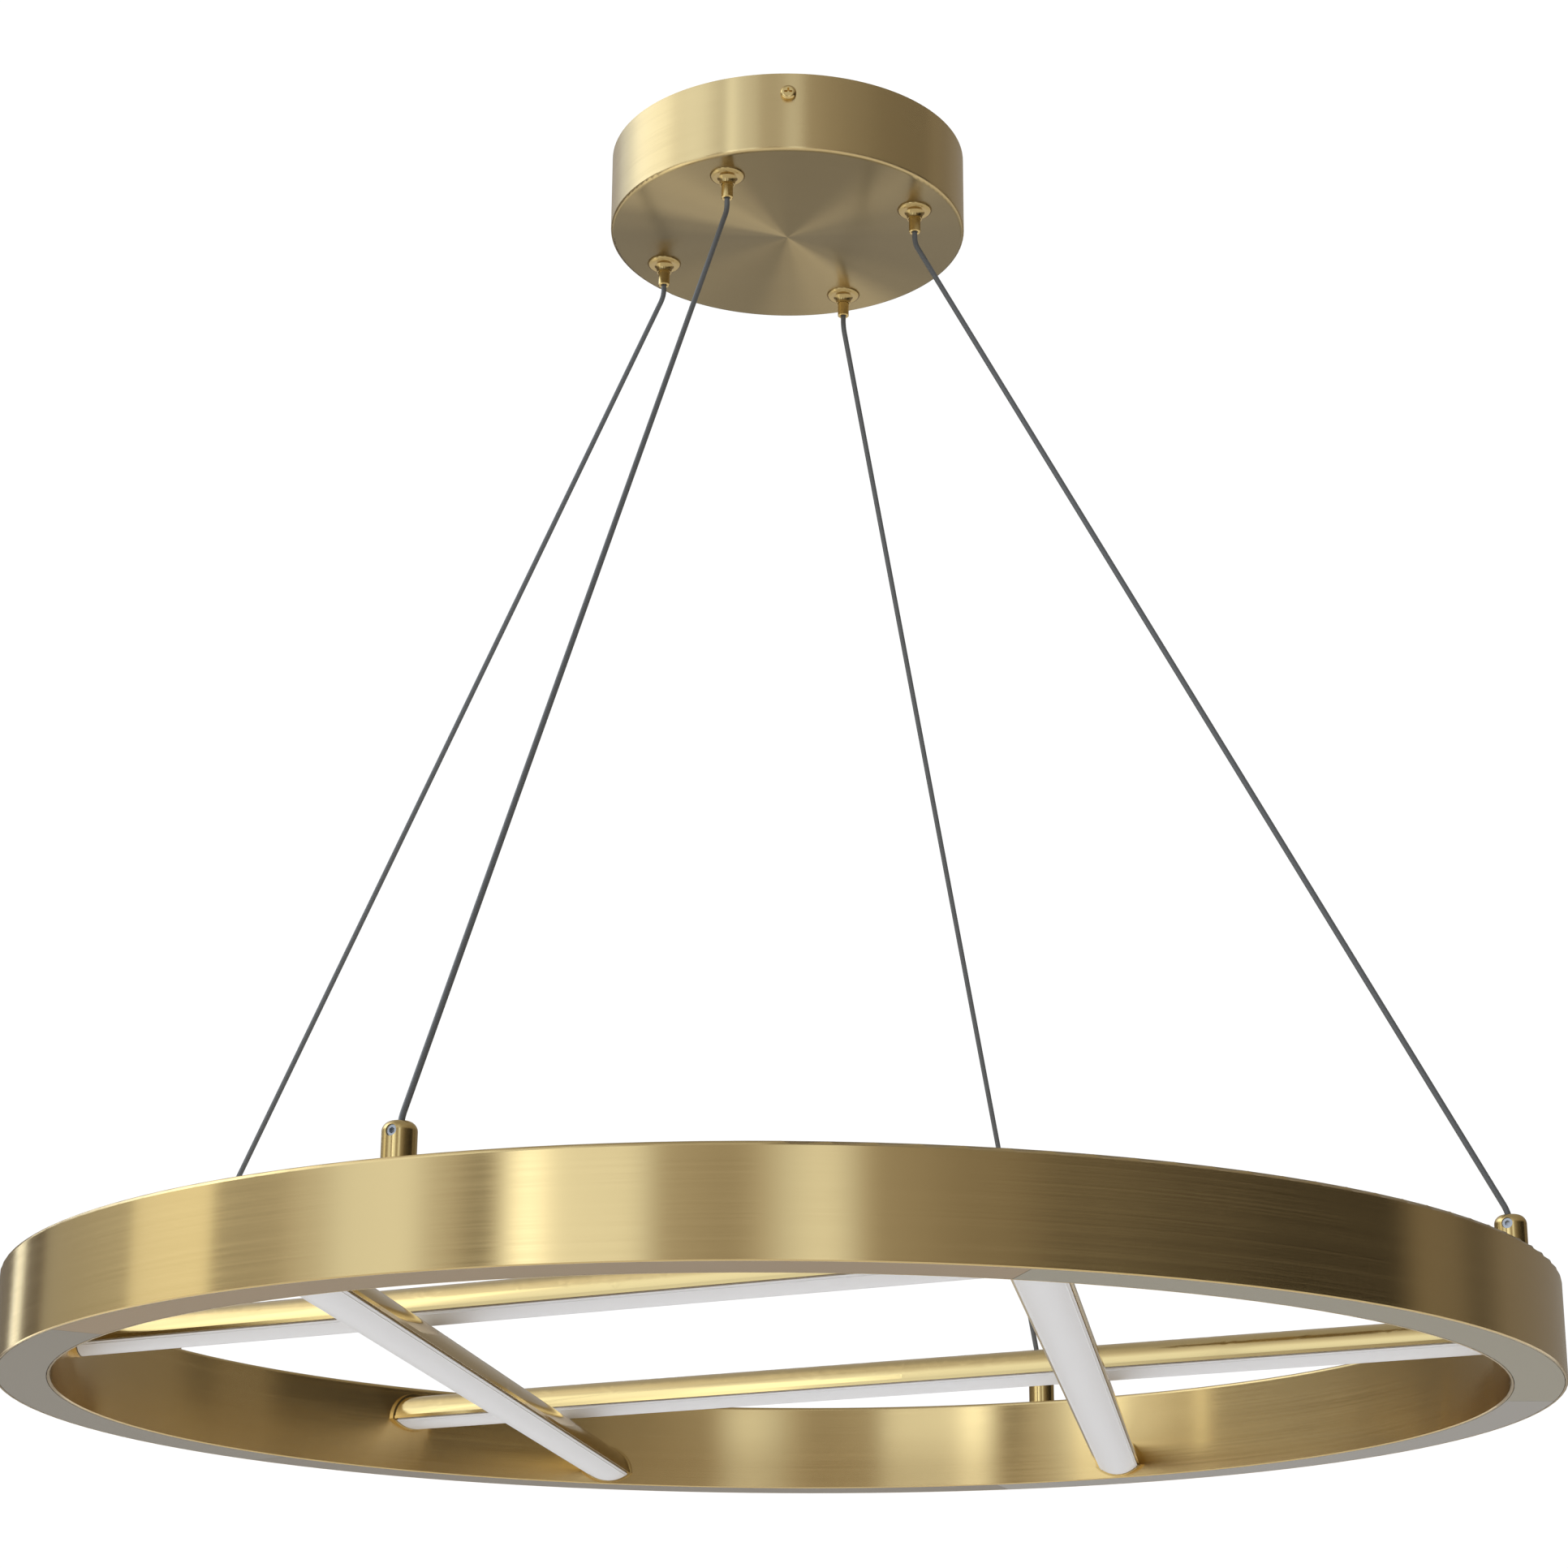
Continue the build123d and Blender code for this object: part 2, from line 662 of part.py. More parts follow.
def end_section():
    """Outline of the end flange, larger than the bar all round."""
    half = bar_width / 2 + end_flange_margin
    outline = crown_outline(half, 0, bar_side + bar_crown + end_flange_margin)
    return outline + dome_outline(half, 0, diffuser_shadow_gap + diffuser_bulge + end_flange_margin * 0.5)


def boss_section():
    """Outline of the end boss, which fills the housing's upper hollow."""
    half = bar_width / 2 - bar_wall - 2 * seat_gap
    boss = crown_outline(half, bar_side, bar_crown - bar_wall - 2 * seat_gap)
    low = cavity_low + 2 * seat_gap
    return boss - Pos(0, low - bar_width / 2) * Rectangle(2 * bar_width, bar_width)


def make_housing(angle, offset, level):
    """Bar housing, coped at both ends to the ring's bore."""
    return along_bar(housing_section(), angle, offset, level) & bore_plug(bar_seat_radius - seat_gap)


def make_diffuser(angle, offset, level):
    """Opal diffuser of one bar."""
    plug = bore_plug(bar_seat_radius - running_gap)
    return along_bar(diffuser_section(), angle, offset, level) & plug


def make_strip(angle, offset, level):
    """Light strip under the housing's web: a board with a row of chips."""
    half_length = math.sqrt(bar_seat_radius ** 2 - offset ** 2) - 1.5 * strip_width
    board = Pos(0, 0, web_height - strip_thickness / 2) * Box(2 * half_length, strip_width, strip_thickness)
    chips = int(2 * half_length / chip_pitch)
    low = web_height - strip_thickness - chip_height / 2
    for k in range(chips):
        board += Pos((k - (chips - 1) / 2) * chip_pitch, 0, low) * Box(chip_size, chip_size, chip_height)
    return Rot(0, 0, angle) * Pos(0, offset, ring_bottom + level) * board


def make_bar_ends(angle, offset, level):
    """End fittings: a flange coped to the ring's wall and a boss inside the housing."""
    flange = along_bar(end_section(), angle, offset, level)
    flange &= bore_plug(inner_radius - seat_gap) - bore_plug(bar_seat_radius)
    boss = along_bar(boss_section(), angle, offset, level)
    boss &= bore_plug(bar_seat_radius + seat_gap) - bore_plug(bar_seat_radius - end_boss_length)
    fitting = flange + boss
    for end in bar_ends(angle, offset):
        hole = at_angle(inner_radius, end, ring_bottom + level + screw_rise) * Rot(0, -90, 0)
        fitting -= hole * Cylinder(
            screw_diameter / 2 + thread_gap, 2 * (end_screw_depth + seat_gap))
    return fitting.solids()


def make_bar_screws():
    """Pan head screws from inside the ring's channel into the bars' end fittings."""
    screw = pan_screw(screw_diameter, ring_wall + end_screw_depth, bar_head_diameter, bar_head_height)
    placed = []
    for name, angle, offset, level in bars:
        for end in bar_ends(angle, offset):
            seat = at_angle(inner_radius + ring_wall + seat_gap, end, ring_bottom + level + screw_rise)
            placed.append(seat * Rot(0, 90, 0) * screw)
    return placed


# ---- Pieces ------------------------------------------------------------------------


def around(piece):
    """A piece drawn on the axis, set down at each of the four grips."""
    return [at_angle(grip_circle_radius, angle) * piece for angle in cable_angles]


def all_pieces():
    """Every node's name with its solid or its group of like solids."""
    pieces = {
        "ceiling_strap": make_strap(),
        "canopy": make_canopy(),
        "canopy_screws": make_canopy_screws(),
        "driver_spacers": make_spacers(),
        "spacer_screws": make_spacer_screws(),
        "driver_case": make_driver_case(),
        "driver_lid": make_driver_lid(),
        "driver_lid_screws": make_lid_screws(),
        "driver_board": make_driver_board(),
        "terminal_block": make_terminal_block(),
        "terminal_screws": make_terminal_screws(),
        "grip_nuts": around(make_grip_nut()),
        "grip_washers": around(make_grip_washer()),
        "grip_springs": around(make_grip_spring()),
        "ring_channel": make_ring_channel(),
        "grub_screws": make_grub_screws(),
        "post_sleeves": make_post_sleeves(),
        "wire_connectors": make_splices(),
        "ring_wires": make_ring_wires(),
        "post_leads": make_post_leads(),
        "bar_screws": make_bar_screws(),
    }
    bodies, plungers = around(make_grip_body()), around(make_plunger())
    cable, tail = make_cable(), make_cable_tail()
    pieces["cable_tails"] = [Rot(0, 0, angle) * tail for angle in cable_angles]
    posts = make_posts_with_grub_holes()
    for k, angle in enumerate(cable_angles):
        pieces[f"grip_body_{k + 1}"] = bodies[k]
        pieces[f"release_plunger_{k + 1}"] = plungers[k]
        pieces[f"cable_{k + 1}"] = Rot(0, 0, angle) * cable
        pieces[f"cable_post_{k + 1}"] = posts[k]
    for k in range(cover_count):
        pieces[f"ring_cover_{k + 1}"] = make_cover(k)
    for name, *place in bars:
        pieces[f"{name}_bar_housing"] = make_housing(*place)
        pieces[f"{name}_bar_diffuser"] = make_diffuser(*place)
        pieces[f"{name}_bar_strip"] = make_strip(*place)
        pieces[f"{name}_bar_ends"] = make_bar_ends(*place)
    return pieces


os.makedirs("parts", exist_ok=True)
for name, piece in all_pieces().items():
    group = Compound(children=list(piece)) if isinstance(piece, (list, ShapeList)) else piece
    export_step(group, f"parts/{name}.step")
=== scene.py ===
import math

import bpy
import numpy as np
from mathutils import Matrix, Vector


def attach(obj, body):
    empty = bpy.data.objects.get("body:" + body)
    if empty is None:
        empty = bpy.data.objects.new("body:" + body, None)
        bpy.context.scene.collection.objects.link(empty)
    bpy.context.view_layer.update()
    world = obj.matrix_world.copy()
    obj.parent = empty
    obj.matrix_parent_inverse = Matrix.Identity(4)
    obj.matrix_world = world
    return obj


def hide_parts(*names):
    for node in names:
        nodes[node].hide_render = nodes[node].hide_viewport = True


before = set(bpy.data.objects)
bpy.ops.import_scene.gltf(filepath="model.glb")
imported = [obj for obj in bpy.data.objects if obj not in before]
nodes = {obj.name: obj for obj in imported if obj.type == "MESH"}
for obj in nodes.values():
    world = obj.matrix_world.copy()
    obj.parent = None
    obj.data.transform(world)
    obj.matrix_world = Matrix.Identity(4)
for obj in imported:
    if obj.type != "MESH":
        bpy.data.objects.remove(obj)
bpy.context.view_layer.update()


# ---- Ceiling strap -----------------------------------------------------------------
# A steel strap, pressed and zinc plated, that two machine screws hold to a box in the
# ceiling. It carries all the rest: two spacers below it hold the driver, and the ears
# bent down at its ends hold the canopy.

def to_linear(hex_colour):
    """Turns an sRGB hex value into the linear colour that a shader socket takes: each part is
    divided by 12.92 where it is very dark, and raised to the power of 2.4 above that."""
    parts = [int(hex_colour[k:k + 2], 16) / 255 for k in (1, 3, 5)]
    return [c / 12.92 if c <= 0.04045 else ((c + 0.055) / 1.055) ** 2.4 for c in parts] + [1.0]


def new_material(name, **sockets):
    """A material with one Principled shader, whose own sockets take the values given here."""
    material = bpy.data.materials.new(name)
    material.use_nodes = True
    shader = material.node_tree.nodes["Principled BSDF"]
    for socket, value in sockets.items():
        shader.inputs[socket.replace("_", " ")].default_value = value
    return material


def dress(names, material):
    """Gives pieces of the CAD model their material."""
    for name in names:
        mesh = nodes[name].data
        mesh.materials.clear()
        mesh.materials.append(material)


# Zinc plated steel: a cool grey with a soft, blurred shine, beside the warm brass.
zinc = new_material(
    "zinc_plated_steel", Base_Color=to_linear("#A9ABAE"), Metallic=1.0, Roughness=0.36)
dress(["ceiling_strap", "driver_spacers", "spacer_screws"], zinc)


# ---- Driver ------------------------------------------------------------------------
# The power supply for the light bars, hidden in the canopy: a circuit board in a round
# case and lid, both moulded in white plastic and shut with four steel screws, and a
# terminal block for the supply wires.

# White polycarbonate, moulded: an even white with a faint, broad gloss.
moulded_white = new_material(
    "moulded_white_polycarbonate", Base_Color=to_linear("#E9E8E4"), Roughness=0.48)
dress(["driver_case", "driver_lid", "terminal_block"], moulded_white)
dress(["driver_lid_screws", "terminal_screws"], zinc)

# Solder mask, cured on the board: a deep green with an even, fairly clear gloss.
solder_mask = new_material(
    "green_solder_mask", Base_Color=to_linear("#2C6A48"), Roughness=0.35)
dress(["driver_board"], solder_mask)


# ---- Canopy ------------------------------------------------------------------------
# A steel cup, spun, brass plated and lacquered, that hides the strap and the driver. Two
# brass screws through its wall hold it to the strap's ears. Its wall is brushed round and
# round, and its flat bottom keeps the rings of the spinning.

MM = 0.001
# Real brush lines are about 0.1 mm apart, too fine to show, so they are drawn coarser.
GRAIN_PITCH = 0.9
GRAIN_LENGTH = 240.0
# The angle round Z, in radians, is unrolled to a length at the ring's outer radius.
UNROLL_RADIUS = 400.0
# The grain turns the roughness up and down by this much, between these two noise levels.
GRAIN_SWING = 0.02
NOISE_LOW, NOISE_HIGH = 0.3, 0.7
GRAIN_DETAIL = 3.0
GRAIN_HARSHNESS = 0.6
# A quarter turn of the shader's stretch, so that reflections smear across the brush lines.
ACROSS_THE_LINES = 0.25

# Bearings round the canopy's middle, in degrees from +X towards +Y, each with the share of
# its colour that the bottom shows there, as painted light: painted shade that darkens the
# bottom, and painted rays of light where the spun rings would gleam across the light.
PAINTED_RAYS = [
    (-180, 0.30), (-166, 0.36), (-150, 0.60), (-135, 0.65), (-120, 0.53), (-105, 0.38),
    (-85, 0.34), (-68, 0.34), (-45, 0.48), (-20, 0.36), (0, 0.32), (22, 0.32), (42, 0.38),
    (60, 0.66), (75, 0.62), (90, 0.49), (105, 0.37), (132, 0.40), (160, 0.32), (180, 0.30)]
BRIGHTEST_PAINTED_RAY = 0.7
# The Z of a face's normal from which the painted shade and rays begin to show, and where
# they show in full.
BOTTOM_BEGINS, BOTTOM_FULL = -0.7, -0.95


def add_node(tree, kind, links=(), values=(), **settings):
    """Adds a node, makes its settings, and gives its sockets their values and links."""
    node = tree.nodes.new(kind)
    for name, value in settings.items():
        setattr(node, name, value)
    for socket, value in values:
        node.inputs[socket].default_value = value
    for socket, output in links:
        tree.links.new(output, node.inputs[socket])
    return node


def level_by_bearing(tree, place, stops, brightest):
    """A level that changes with a place's bearing round Z. The bearing is the arc tangent of
    Y over X. A colour ramp along the full turn holds each (degrees, level) stop as a share
    of the brightest level, and what it gives is multiplied by that level again."""
    apart = add_node(tree, "ShaderNodeSeparateXYZ", links=[(0, place)])
    bearing = add_node(
        tree, "ShaderNodeMath", operation="ARCTAN2",
        links=[(0, apart.outputs[1]), (1, apart.outputs[0])])
    turn = add_node(
        tree, "ShaderNodeMapRange", links=[("Value", bearing.outputs[0])],
        values=[("From Min", -math.pi), ("From Max", math.pi)])
    shares = add_node(tree, "ShaderNodeValToRGB", links=[("Fac", turn.outputs[0])])
    ramp = shares.color_ramp
    ramp.interpolation = "EASE"
    while len(ramp.elements) < len(stops):
        ramp.elements.new(0.5)
    for element, (degrees, level) in zip(ramp.elements, stops):
        element.position = degrees / 360 + 0.5
        element.color = [level / brightest] * 3 + [1]
    level = add_node(
        tree, "ShaderNodeMath", operation="MULTIPLY", values=[(1, brightest)],
        links=[(0, shares.outputs["Color"])])
    return level.outputs[0]


def brushed_brass(name, hex_colour, roughness, anisotropy, along=None):
    """Brass with brush lines along a direction in degrees from +X, or round Z without one.
    The place is unrolled so that its X runs along the lines, then divided by the grain's
    length in X and by its pitch across, and noise of that makes the roughness rise and fall.
    The lines' direction is the shader's tangent, so reflections smear across them."""
    material = new_material(
        name, Base_Color=to_linear(hex_colour), Metallic=1.0, Roughness=roughness,
        Anisotropic=anisotropy, Anisotropic_Rotation=ACROSS_THE_LINES)
    tree = material.node_tree
    shader = tree.nodes["Principled BSDF"]
    place = add_node(tree, "ShaderNodeTexCoord").outputs["Object"]
    if along is None:
        lines = add_node(tree, "ShaderNodeTangent", direction_type="RADIAL", axis="Z")
        apart = add_node(tree, "ShaderNodeSeparateXYZ", links=[(0, place)])
        flat = add_node(
            tree, "ShaderNodeCombineXYZ", links=[(0, apart.outputs[0]), (1, apart.outputs[1])])
        radius = add_node(
            tree, "ShaderNodeVectorMath", operation="LENGTH", links=[(0, flat.outputs[0])])
        angle = add_node(
            tree, "ShaderNodeMath", operation="ARCTAN2",
            links=[(0, apart.outputs[1]), (1, apart.outputs[0])])
        unrolled = add_node(
            tree, "ShaderNodeCombineXYZ",
            links=[(0, angle.outputs[0]), (1, radius.outputs["Value"]), (2, apart.outputs[2])])
        lengthwise = UNROLL_RADIUS / GRAIN_LENGTH
    else:
        turn = math.radians(along)
        direction = add_node(
            tree, "ShaderNodeCombineXYZ", values=[(0, math.cos(turn)), (1, math.sin(turn))])
        lines = add_node(
            tree, "ShaderNodeVectorTransform", vector_type="VECTOR", convert_from="OBJECT",
            convert_to="WORLD", links=[(0, direction.outputs[0])])
        unrolled = add_node(
            tree, "ShaderNodeMapping", vector_type="POINT",
            values=[("Rotation", (0, 0, -turn))], links=[(0, place)])
        lengthwise = 1 / (GRAIN_LENGTH * MM)
    across = 1 / (GRAIN_PITCH * MM)
    squeezed = add_node(
        tree, "ShaderNodeVectorMath", operation="MULTIPLY",
        values=[(1, (lengthwise, across, across))], links=[(0, unrolled.outputs[0])])
    grain = add_node(
        tree, "ShaderNodeTexNoise", links=[("Vector", squeezed.outputs[0])],
        values=[("Scale", 1.0), ("Detail", GRAIN_DETAIL), ("Roughness", GRAIN_HARSHNESS)])
    gloss = add_node(
        tree, "ShaderNodeMapRange", links=[("Value", grain.outputs["Fac"])],
        values=[("From Min", NOISE_LOW), ("From Max", NOISE_HIGH),
                ("To Min", roughness - GRAIN_SWING), ("To Max", roughness + GRAIN_SWING)])
    tree.links.new(gloss.outputs[0], shader.inputs["Roughness"])
    tree.links.new(lines.outputs[0], shader.inputs["Tangent"])
    return material


def add_painted_rays(material):
    """Paints light into the colour: multiplies it by the painted rays and shade where the
    surface looks down, and by one elsewhere.
    """
    tree = material.node_tree
    shader = tree.nodes["Principled BSDF"]
    coordinates = add_node(tree, "ShaderNodeTexCoord")
    rays = level_by_bearing(tree, coordinates.outputs["Object"], PAINTED_RAYS, BRIGHTEST_PAINTED_RAY)
    facing = add_node(tree, "ShaderNodeSeparateXYZ", links=[(0, coordinates.outputs["Normal"])])
    bottom = add_node(
        tree, "ShaderNodeMapRange", links=[("Value", facing.outputs[2])],
        values=[("From Min", BOTTOM_BEGINS), ("From Max", BOTTOM_FULL)])
    share = add_node(
        tree, "ShaderNodeMix", data_type="FLOAT", values=[(2, 1.0)],
        links=[(0, bottom.outputs[0]), (3, rays)])
    painted_ray_colour = add_node(
        tree, "ShaderNodeVectorMath", operation="SCALE",
        values=[(0, shader.inputs["Base Color"].default_value[:3])],
        links=[("Scale", share.outputs[0])])
    tree.links.new(painted_ray_colour.outputs[0], shader.inputs["Base Color"])


# Brass plate, spun and lacquered: pale gold, with upright bands of light on the wall. Its
# bottom has painted light in its colour: painted shade, and painted rays from the middle.
canopy_brass = brushed_brass("brushed_brass_plate_spun", "#CEB582", 0.25, 0.94)
add_painted_rays(canopy_brass)
dress(["canopy"], canopy_brass)

# Solid brass, turned and lacquered: a warm gold with small, fairly sharp highlights.
turned_brass = brushed_brass("turned_brass", "#CEB277", 0.2, 0.4)
dress(["canopy_screws"], turned_brass)


# ---- Cable grips -------------------------------------------------------------------
# Four bodies of turned brass stand out of the canopy's bottom. A nut, a washer and a
# spring, all of zinc plated steel, sit on each inside. The sprung tip below is pressed up
# to let its cable go.

GRIP_COUNT = 4

# Turned brass with painted shade in its colour: the same brass made a shade darker, a brown
# gold with the same small highlights, as the grips lie in the canopy's shade.
painted_shade_brass = brushed_brass("turned_brass_painted_shade", "#B39A67", 0.2, 0.3)
dress([f"grip_body_{k}" for k in range(1, GRIP_COUNT + 1)], painted_shade_brass)
dress([f"release_plunger_{k}" for k in range(1, GRIP_COUNT + 1)], turned_brass)
dress(["grip_nuts", "grip_washers", "grip_springs"], zinc)


# ---- Hanging cables ----------------------------------------------------------------
# Four taut cables that carry the ring and its current: a steel braid in a clear grey
# jacket, extruded. Each comes straight down out of its grip, leans out to its post on the
# ring and turns upright again in the post's bore, where a side screw pinches it.

CABLE_DIAMETER = 3.0
GRIP_CIRCLE = 80.5
POST_CIRCLE = 386.0
FIRST_CABLE_BEARING = -115.0
# The route in the cable's own upright plane, as corners of (distance from Z, height).
CABLE_ROUTE = [
    (GRIP_CIRCLE, -62.9), (GRIP_CIRCLE, -69.4), (POST_CIRCLE, -656.0), (POST_CIRCLE, -670.0)]
# How much of the shorter run beside each corner its bend takes, and the points in a bend.
BEND_SHARES = [0.654, 0.45]
BEND_POINTS = 9
# Steps in a quarter of the tube's round, and the order of the smooth curve along it.
TUBE_STEPS = 5
LINE_ORDER = 3


def cable_line(route, bend_shares, bearing):
    """The cable's middle line in metres: straight runs joined by arcs that touch both. From
    the corner to where an arc starts is its share of the shorter run, the radius is that
    reach over the tangent of half the turn, and the centre lies on the corner's bisector.
    A point of the arc is its start and end vectors, mixed by the sines of the angles left."""
    corners = np.array(route)
    runs = np.diff(corners, axis=0)
    lengths = np.linalg.norm(runs, axis=1)
    ways = runs / lengths[:, None]
    corner, way_in, way_out = corners[1:-1], ways[:-1], ways[1:]
    reach = (bend_shares * np.minimum(lengths[:-1], lengths[1:]))[:, None]
    turn = np.arccos((way_in * way_out).sum(axis=1))[:, None]
    inward = way_out - way_in
    inward /= np.linalg.norm(inward, axis=1)[:, None]
    centre = corner + inward * reach / np.sin(turn / 2)
    start, end = corner - way_in * reach - centre, corner + way_out * reach - centre
    share = np.linspace(0, 1, BEND_POINTS)[:, None, None]
    arcs = centre + (np.sin((1 - share) * turn) * start + np.sin(share * turn) * end) / np.sin(turn)
    flat = np.vstack([corners[:1], arcs.swapaxes(0, 1).reshape(-1, 2), corners[-1:]])
    out, height = flat.T
    c, s = math.cos(math.radians(bearing)), math.sin(math.radians(bearing))
    return np.stack([out * c, out * s, height], axis=1) * MM


def cable_curve(name, line):
    """A round tube with closed ends: a circle of the cable's diameter carried along the line."""
    curve = bpy.data.curves.new(name, "CURVE")
    curve.dimensions = "3D"
    curve.bevel_depth = CABLE_DIAMETER / 2 * MM
    curve.bevel_resolution = TUBE_STEPS
    curve.use_fill_caps = True
    spline = curve.splines.new("NURBS")
    spline.points.add(len(line) - 1)
    spline.points.foreach_set("co", np.hstack([line, np.ones((len(line), 1))]).ravel())
    spline.order_u = LINE_ORDER
    spline.use_endpoint_u = True
    return bpy.data.objects.new(name, curve)


# PVC jacket over a steel braid: smoke grey, with one soft line of light along its side.
jacket = new_material(
    "smoke_jacket_on_steel_braid", Base_Color=to_linear("#626261"), Roughness=0.32,
    Specular_IOR_Level=0.35)

for k in range(1, GRIP_COUNT + 1):
    line = cable_line(CABLE_ROUTE, BEND_SHARES, FIRST_CABLE_BEARING + 360 / GRIP_COUNT * (k - 1))
    cable = cable_curve(f"hanging_cable_{k}", line)
    bpy.context.scene.collection.objects.link(cable)
    cable.data.materials.append(jacket)
    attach(cable, f"cable_{k}_body")
    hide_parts(f"cable_{k}")

# The cables' upper ends, from the grips into the driver, are the CAD model's own.
dress(["cable_tails"], jacket)


# ---- Ring --------------------------------------------------------------------------
# A steel channel, open below, rolled to a ring, brass plated, brushed round and lacquered.
# The wires run inside it, from the posts to the light bars.

# Brass plate, brushed round the ring: pale gold, and everything beside the ring is smeared
# up and down into upright bands of light and dark.
ring_brass = brushed_brass("brushed_brass_plate_rolled", "#CEB37D", 0.2, 0.95)
dress(["ring_channel"], ring_brass)

# PVC insulation, extruded: near black, with a dull shine along each wire.
wire_skin = new_material("black_pvc_insulation", Base_Color=to_linear("#1B1B1C"), Roughness=0.5)
dress(["ring_wires", "post_leads"], wire_skin)
dress(["wire_connectors"], moulded_white)


# ---- Cable posts -------------------------------------------------------------------
# Four posts of turned brass stand on the ring, and threaded sleeves of zinc plated steel
# hold them from below. A small grub screw in the side of each pinches its cable.

dress([f"cable_post_{k}" for k in range(1, GRIP_COUNT + 1)], turned_brass)
dress(["post_sleeves", "grub_screws"], zinc)


# ---- Ring covers -------------------------------------------------------------------
# Five flat steel segments close the channel from below, sprayed one by one with a taupe
# enamel, and the seams between them show. Each segment's colour holds painted light too: the
# segments differ partly by their enamel and partly by painted shade and painted reflection.

# Each segment's taupe enamel, darkened or lightened by painted shade and painted reflection.
COVER_TONES_AND_PAINTED_LIGHT = ["#8C836D", "#928B81", "#776A57", "#7C7261", "#8E744E"]

for k, cover_tone_and_painted_light in enumerate(COVER_TONES_AND_PAINTED_LIGHT, 1):
    # Enamel with a little metal in it: an even satin that mirrors nothing clearly.
    cover_enamel = new_material(
        f"satin_taupe_enamel_{k}", Base_Color=to_linear(cover_tone_and_painted_light), Roughness=0.42, Metallic=0.2)
    dress([f"ring_cover_{k}"], cover_enamel)


# ---- Light bars --------------------------------------------------------------------
# Two pairs of bars that cross inside the ring: half round housings, drawn in steel and
# brass plated, with a strip of small lights inside and a snapped-in opal diffuser below.
# Turned brass end pieces, screwed from inside the channel, hold them to the ring.

# Each pair's direction, in degrees from +X towards +Y.
BAR_PAIRS = [(-28.0, ("upper_back", "upper_front")), (81.5, ("lower_left", "lower_right"))]

# Opal polycarbonate, extruded, with the lights off: a milky white that light sinks into by a
# few millimetres, so its edges look soft.
OPAL_DEPTH = 4.0
opal = new_material(
    "opal_polycarbonate", Base_Color=to_linear("#E2DFDE"), Roughness=0.42,
    Subsurface_Weight=0.3, Subsurface_Radius=(OPAL_DEPTH * MM,) * 3)

# White solder mask on the light strip: a warm white with a soft gloss.
white_mask = new_material("white_solder_mask", Base_Color=to_linear("#E8E4D6"), Roughness=0.5)

for direction, pair in BAR_PAIRS:
    # Brass plate, drawn lengthwise and polished: a brighter, sharper shine than the ring's,
    # with a line of light along the crown.
    drawn_brass = brushed_brass(
        f"brass_plate_drawn_{direction:.0f}", "#D2B880", 0.14, 0.5, along=direction)
    dress([f"{bar}_bar_housing" for bar in pair], drawn_brass)
    dress([f"{bar}_bar_ends" for bar in pair], turned_brass)
    dress([f"{bar}_bar_diffuser" for bar in pair], opal)
    dress([f"{bar}_bar_strip" for bar in pair], white_mask)
dress(["bar_screws"], zinc)


# ---- Floor -------------------------------------------------------------------------
# A plain pale sheet of studio floor, far enough below the lamp not to hide it from below,
# and faintly lit from behind, so that it stays as pale as the walls.

FLOOR_LEVEL = -3.0
FLOOR_SIZE = 24.0

floor_mesh = bpy.data.meshes.new("floor")
reach = FLOOR_SIZE / 2
floor_mesh.from_pydata(
    [(-reach, -reach, FLOOR_LEVEL), (reach, -reach, FLOOR_LEVEL), (reach, reach, FLOOR_LEVEL),
     (-reach, reach, FLOOR_LEVEL)], [], [(0, 1, 2, 3)])
floor = bpy.data.objects.new("floor", floor_mesh)
bpy.context.scene.collection.objects.link(floor)

# Backlit vinyl sheet, matt: an even off-white with no grain.
floor_vinyl = new_material(
    "matt_backlit_vinyl", Base_Color=to_linear("#F1F0EE"), Roughness=0.7,
    Emission_Color=to_linear("#FFFDFA"), Emission_Strength=0.35)
floor_mesh.materials.append(floor_vinyl)


# ---- Studio light ------------------------------------------------------------------
# A white studio round the lamp, with soft panels and dark gaps between them that the brass
# mirrors as bands, and three strip lights close to the ring. The camera sees plain white.

# Bearings from the lamp's middle, in degrees from +X towards +Y, each with its brightness:
# level with the ring, and higher up, where the canopy mirrors it.
LOW_LIGHT = [
    (-180, 0.25), (-171, 0.32), (-165, 0.39), (-158, 0.71), (-151, 1.13), (-143, 1.22),
    (-138, 0.68), (-131, 0.15), (-125, 2.60), (-120, 1.45), (-111, 1.45), (-105, 0.53),
    (-97, 0.40), (-84, 1.38), (-76, 0.42), (-62, 0.26), (-49, 0.10), (-30, 0.05), (-15, 0.02),
    (4, 0.03), (12, 0.24), (18, 0.23), (26, 0.13), (36, 0.25), (60, 0.26), (90, 0.36),
    (112, 0.20), (134, 0.17), (150, 0.19), (160, 0.21), (180, 0.25)]
HIGH_LIGHT = [
    (-180, 2.20), (-165, 1.50), (-140, 1.32), (-127, 1.05), (-113, 0.72), (-90, 0.80),
    (-78, 0.52), (-50, 0.44), (-20, 0.34), (20, 0.31), (60, 0.35), (100, 0.50), (122, 0.70),
    (140, 1.40), (160, 2.40), (180, 2.20)]
BRIGHTEST = 2.6
OVERHEAD_LIGHT = 0.4
WHITE_BEHIND = 1.05
# Sines of the elevations where the low belt ends and the high one is reached, and of those,
# up or down, where the overhead light begins and is reached.
LOW_ENDS, HIGH_REACHED = 0.25, 0.45
OVERHEAD_BEGINS, OVERHEAD_REACHED = 0.6, 0.95
# Dim parts of the studio are warm and bright ones cool, between these two brightnesses.
WARM_UP_TO, COOL_FROM = 0.2, 1.0
DIM_COLOUR = (1.0, 0.90, 0.76)
BRIGHT_COLOUR = (0.94, 1.06, 1.22)
NEUTRAL = (1, 1, 1)

